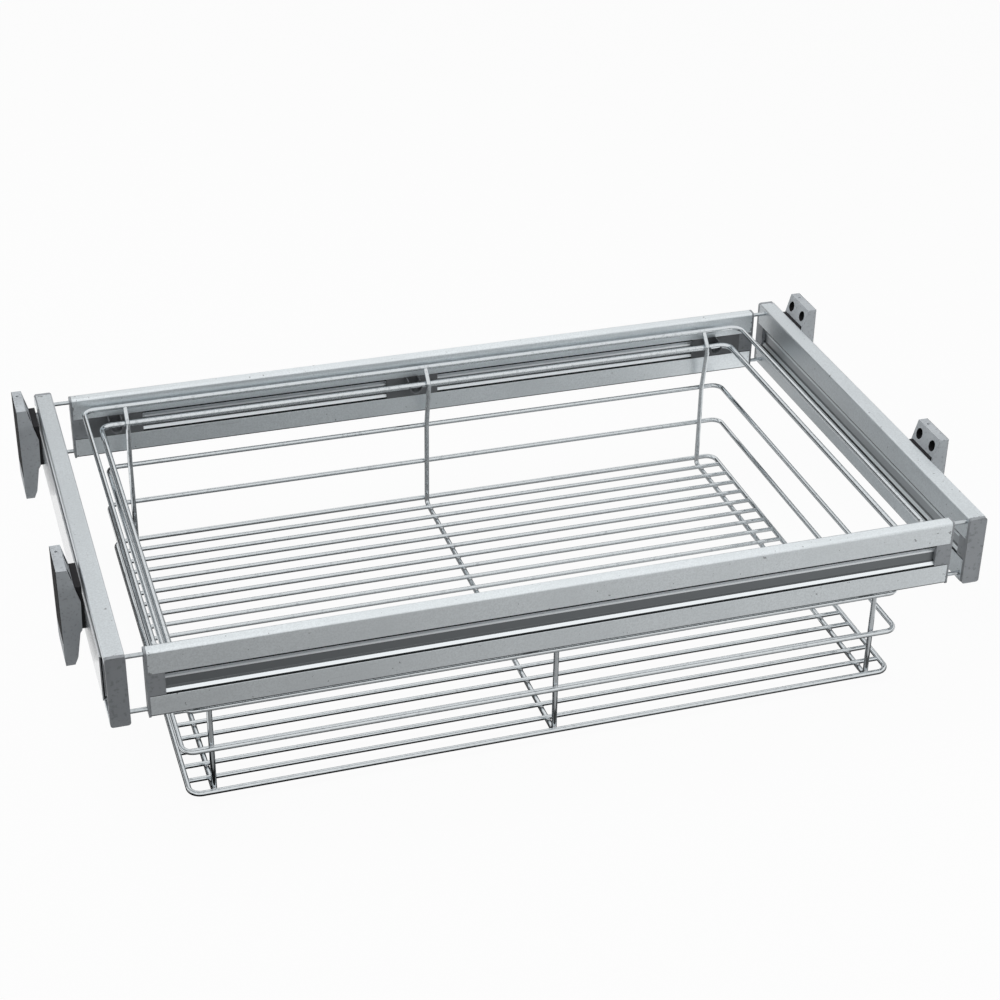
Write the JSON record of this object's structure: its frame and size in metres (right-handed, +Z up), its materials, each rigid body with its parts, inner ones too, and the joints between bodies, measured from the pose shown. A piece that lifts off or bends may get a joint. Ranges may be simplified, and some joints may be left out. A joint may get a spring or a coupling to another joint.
{
  "type": "wardrobe pull-out drawer",
  "caption": "Wire basket hung in an aluminium frame that pulls out of a wardrobe on full-extension ball-bearing slides fixed by side brackets.",
  "frame": {"origin": "midway between the two cabinet side panels, at the middle of the side rails length with the drawer closed, level with the underside of the basket", "axes": "+X across the cabinet to the right as seen from the front, +Y towards the back of the cabinet, +Z up"},
  "size_m": [0.864, 0.49, 0.192],
  "materials": {
    "rail": "matt anodised extrusion",
    "cap": "moulded, dark grey",
    "clip": "moulded, dark grey",
    "bracket": "moulded, speckled grey",
    "spacer": "moulded, black",
    "slide_steel": "bright zinc plated sheet",
    "screw": "zinc plated",
    "ball": "polished steel",
    "rod": "bright drawn steel",
    "wire": "bright chrome plate"
  },
  "bodies": {
    "cabinet_side": {"bracket_front_left": "bracket", "bracket_front_right": "bracket", "bracket_rear_left": "bracket", "bracket_rear_right": "bracket", "spacer_front_left": "spacer", "spacer_front_right": "spacer", "spacer_rear_left": "spacer", "spacer_rear_right": "spacer", "slide_outer_left": "slide_steel", "slide_outer_right": "slide_steel", "bracket_screws": "screw"},
    "middle_left": {"slide_middle_left": "slide_steel"},
    "middle_right": {"slide_middle_right": "slide_steel"},
    "outer_cage_left": {"cage_outer_left": "slide_steel", "balls_outer_left": "ball"},
    "outer_cage_right": {"cage_outer_right": "slide_steel", "balls_outer_right": "ball"},
    "inner_cage_left": {"cage_inner_left": "slide_steel", "balls_inner_left": "ball"},
    "inner_cage_right": {"cage_inner_right": "slide_steel", "balls_inner_right": "ball"},
    "drawer": {"slide_inner_left": "slide_steel", "slide_inner_right": "slide_steel", "rail_screws": "screw", "side_rail_left": "rail", "side_rail_right": "rail", "side_cap_front_left": "cap", "side_cap_front_right": "cap", "side_cap_rear_left": "cap", "side_cap_rear_right": "cap", "front_rail": "rail", "rear_rail": "rail", "front_rail_cap_left": "cap", "front_rail_cap_right": "cap", "rear_rail_cap_left": "cap", "rear_rail_cap_right": "cap", "rods_front_left": "rod", "rods_front_right": "rod", "rods_rear_left": "rod", "rods_rear_right": "rod", "clip_front_left": "clip", "clip_front_middle": "clip", "clip_front_right": "clip", "clip_rear_left": "clip", "clip_rear_middle": "clip", "clip_rear_right": "clip"},
    "basket": {"basket_rim": "wire", "basket_support_hoop": "wire", "basket_third_hoop": "wire", "basket_fourth_hoop": "wire", "basket_floor_hoop": "wire", "basket_floor_wires": "wire", "basket_cross_wire_left": "wire", "basket_cross_wire_middle": "wire", "basket_cross_wire_right": "wire"}
  },
  "joints": [
    {"name": "drawer_slide", "type": "slide", "parent": "cabinet_side", "child": "drawer", "axis": [0, -1, 0], "range_m": [0, 0.45]},
    {"name": "middle_left_slide", "type": "slide", "parent": "cabinet_side", "child": "middle_left", "axis": [0, -1, 0], "range_m": [0, 0.225]},
    {"name": "middle_right_slide", "type": "slide", "parent": "cabinet_side", "child": "middle_right", "axis": [0, -1, 0], "range_m": [0, 0.225]},
    {"name": "outer_cage_left_slide", "type": "slide", "parent": "cabinet_side", "child": "outer_cage_left", "axis": [0, -1, 0], "range_m": [0, 0.1125]},
    {"name": "outer_cage_right_slide", "type": "slide", "parent": "cabinet_side", "child": "outer_cage_right", "axis": [0, -1, 0], "range_m": [0, 0.1125]},
    {"name": "inner_cage_left_slide", "type": "slide", "parent": "cabinet_side", "child": "inner_cage_left", "axis": [0, -1, 0], "range_m": [0, 0.3375]},
    {"name": "inner_cage_right_slide", "type": "slide", "parent": "cabinet_side", "child": "inner_cage_right", "axis": [0, -1, 0], "range_m": [0, 0.3375]},
    {"name": "basket_lift", "type": "slide", "parent": "drawer", "child": "basket", "axis": [0, 0, 1], "range_m": [0, 0.03]}
  ],
  "couplings": [
    {"joint": "middle_left_slide", "follows": "drawer_slide", "ratio": 0.5},
    {"joint": "middle_right_slide", "follows": "drawer_slide", "ratio": 0.5},
    {"joint": "outer_cage_left_slide", "follows": "drawer_slide", "ratio": 0.25},
    {"joint": "outer_cage_right_slide", "follows": "drawer_slide", "ratio": 0.25},
    {"joint": "inner_cage_left_slide", "follows": "drawer_slide", "ratio": 0.75},
    {"joint": "inner_cage_right_slide", "follows": "drawer_slide", "ratio": 0.75}
  ]
}
